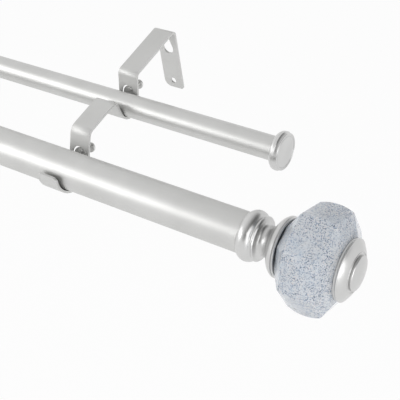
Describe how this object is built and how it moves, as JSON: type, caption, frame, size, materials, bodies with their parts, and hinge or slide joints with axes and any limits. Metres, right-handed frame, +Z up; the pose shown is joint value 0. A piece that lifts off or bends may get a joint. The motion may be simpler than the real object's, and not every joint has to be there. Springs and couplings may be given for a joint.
{
  "type": "double curtain pole",
  "caption": "Telescoping double curtain pole on bent strip brackets: faceted crackle finials on the thick front pole, flat disc caps on the thin rear pole.",
  "frame": {"origin": "on the wall face of the right bracket's plate, on its centre line between the keyhole and the screw hole", "axes": "+X along the poles towards the ends of the outer tubes, +Y into the wall, +Z up"},
  "size_m": [0.8476, 0.1584, 0.0673],
  "materials": {
    "pole_satin": "satin silver",
    "fitting_satin": "satin silver, slightly glossier than the tubes",
    "bracket_paint": "satin silver powder coat",
    "crackle_glass": "crackled pale blue-grey core under a clear skin",
    "screw_nickel": "dull nickel plate",
    "stud_steel": "plain zinc",
    "plug_nylon": "natural nylon"
  },
  "bodies": {
    "root": {"bracket_right": "bracket_paint", "bracket_left": "bracket_paint", "front_tube_outer": "pole_satin", "rear_tube_outer": "pole_satin", "tube_plug_right": "plug_nylon", "finial_collar_right": "fitting_satin", "finial_body_right": "crackle_glass", "finial_end_cap_right": "fitting_satin", "finial_stud_right": "stud_steel", "rear_end_cap_right": "fitting_satin"},
    "front_pole_slider": {"front_tube_inner": "pole_satin", "tube_plug_left": "plug_nylon", "finial_collar_left": "fitting_satin", "finial_body_left": "crackle_glass", "finial_end_cap_left": "fitting_satin", "finial_stud_left": "stud_steel"},
    "rear_pole_slider": {"rear_tube_inner": "pole_satin", "rear_end_cap_left": "fitting_satin"},
    "set_screw_front_right": {"set_screw_front_right": "screw_nickel"},
    "set_screw_front_left": {"set_screw_front_left": "screw_nickel"},
    "set_screw_rear_right": {"set_screw_rear_right": "screw_nickel"},
    "set_screw_rear_left": {"set_screw_rear_left": "screw_nickel"}
  },
  "joints": [
    {"name": "front_pole_extend", "type": "slide", "parent": "root", "child": "front_pole_slider", "axis": [-1, 0, 0], "range_m": [0, 0.508]},
    {"name": "rear_pole_extend", "type": "slide", "parent": "root", "child": "rear_pole_slider", "axis": [-1, 0, 0], "range_m": [0, 0.508]},
    {"name": "set_screw_front_right_advance", "type": "slide", "parent": "root", "child": "set_screw_front_right", "axis": [0, -0.9272, 0.3746], "range_m": [-0.002, 0.0042]},
    {"name": "set_screw_front_left_advance", "type": "slide", "parent": "root", "child": "set_screw_front_left", "axis": [0, -0.9272, 0.3746], "range_m": [-0.002, 0.0042]},
    {"name": "set_screw_rear_right_advance", "type": "slide", "parent": "root", "child": "set_screw_rear_right", "axis": [0, -0.9799, 0.1994], "range_m": [-0.002, 0.0033]},
    {"name": "set_screw_rear_left_advance", "type": "slide", "parent": "root", "child": "set_screw_rear_left", "axis": [0, -0.9799, 0.1994], "range_m": [-0.002, 0.0033]}
  ]
}
